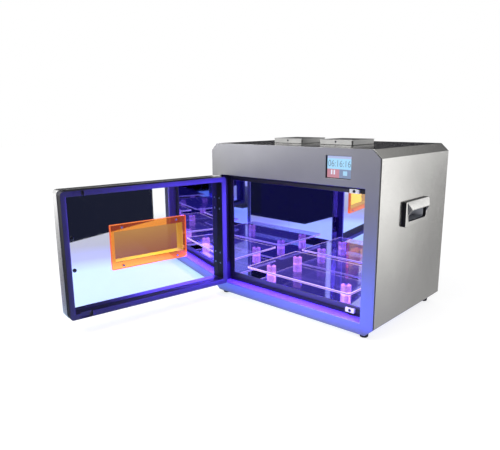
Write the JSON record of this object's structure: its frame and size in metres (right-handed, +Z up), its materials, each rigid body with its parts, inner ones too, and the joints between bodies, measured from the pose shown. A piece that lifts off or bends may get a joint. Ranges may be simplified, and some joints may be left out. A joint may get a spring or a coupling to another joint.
{
  "type": "light curing chamber",
  "caption": "Desktop curing chamber: steel cabinet with a mirrored chamber, a hinged door with an orange window, a clear shelf, a touch screen and side handles.",
  "frame": {"origin": "centre of the flat underside of the cabinet, which the four feet carry 9 mm above the bench", "axes": "+X to the right along the front, +Y from the front to the back, +Z up"},
  "size_m": [0.5705, 0.7253, 0.4009],
  "materials": {
    "brushed_silver": "brushed, warm silver lacquer",
    "door_silver": "brushed, clear lacquer",
    "gunmetal_paint": "satin metallic grey",
    "black_metal": "satin black",
    "rim_plastic": "satin moulded",
    "liner_steel": "plain sheet",
    "black_plastic": "matt moulded",
    "black_rubber": "matt",
    "mirror": "polished mirror",
    "bright_steel": "bright plated",
    "cast_aluminium": "extruded",
    "white_plastic": "smooth",
    "led_board": "white solder mask",
    "circuit_board": "green solder mask",
    "clear_acrylic": "clear polished",
    "orange_acrylic": "transparent orange, polished",
    "screen": "lit screen under glass",
    "foam": "rigid foam board"
  },
  "bodies": {
    "cabinet": {"base_pan": "brushed_silver", "chamber_liner": "liner_steel", "chamber_mirror_back": "mirror", "chamber_mirror_floor": "mirror", "chamber_mirror_left": "mirror", "chamber_mirror_right": "mirror", "controller_board": "circuit_board", "display_board": "circuit_board", "display_glass": "screen", "door_seal": "black_rubber", "fan_frame_left": "black_plastic", "fan_frame_right": "black_plastic", "fascia": "gunmetal_paint", "fascia_gasket": "black_rubber", "foot_back_left": "black_rubber", "foot_back_right": "black_rubber", "foot_front_left": "black_rubber", "foot_front_right": "black_rubber", "handle_bezel_left": "brushed_silver", "handle_bezel_right": "brushed_silver", "handle_pocket_left": "black_plastic", "handle_pocket_right": "black_plastic", "heat_sink_left": "cast_aluminium", "heat_sink_right": "cast_aluminium", "hinge_lower_frame_leaf": "bright_steel", "hinge_lower_pin": "bright_steel", "hinge_upper_frame_leaf": "bright_steel", "hinge_upper_pin": "bright_steel", "led_panel_left": "led_board", "led_panel_right": "led_board", "magnet_catch_lower": "white_plastic", "magnet_catch_upper": "white_plastic", "outer_shell": "brushed_silver", "power_inlet": "black_plastic", "power_supply": "bright_steel", "rear_panel": "brushed_silver", "recess_frame": "gunmetal_paint", "shelf_plate": "clear_acrylic", "shelf_post_back_left": "clear_acrylic", "shelf_post_back_right": "clear_acrylic", "shelf_post_front_left": "clear_acrylic", "shelf_post_front_right": "clear_acrylic", "stop_frame": "black_metal", "vent_cover_left": "brushed_silver", "vent_cover_right": "brushed_silver"},
    "door": {"door_core": "foam", "window_sleeve": "white_plastic", "door_handle": "bright_steel", "door_mirror": "mirror", "door_rim": "rim_plastic", "door_skin": "door_silver", "door_window": "orange_acrylic", "hinge_lower_door_leaf": "bright_steel", "hinge_upper_door_leaf": "bright_steel", "strike_plate_lower": "bright_steel", "strike_plate_upper": "bright_steel"},
    "left_fan_rotor": {"fan_rotor_left": "black_plastic"},
    "right_fan_rotor": {"fan_rotor_right": "black_plastic"},
    "power_rocker": {"power_switch_rocker": "black_plastic"}
  },
  "joints": [
    {"name": "door_hinge", "type": "hinge", "parent": "cabinet", "child": "door", "pos_m": [-0.2034, -0.16, 0.164], "axis": [0, 0, 1], "range_deg": [0, 98.84]},
    {"name": "left_fan_spin", "type": "hinge", "parent": "cabinet", "child": "left_fan_rotor", "pos_m": [-0.06825, -0.016, 0.367], "axis": [0, 0, 1], "continuous": true},
    {"name": "right_fan_spin", "type": "hinge", "parent": "cabinet", "child": "right_fan_rotor", "pos_m": [0.06825, -0.016, 0.367], "axis": [0, 0, 1], "continuous": true},
    {"name": "power_switch", "type": "hinge", "parent": "cabinet", "child": "power_rocker", "pos_m": [0.17, 0.1565, 0.061], "axis": [1, 0, 0], "range_deg": [-20, 0]}
  ]
}
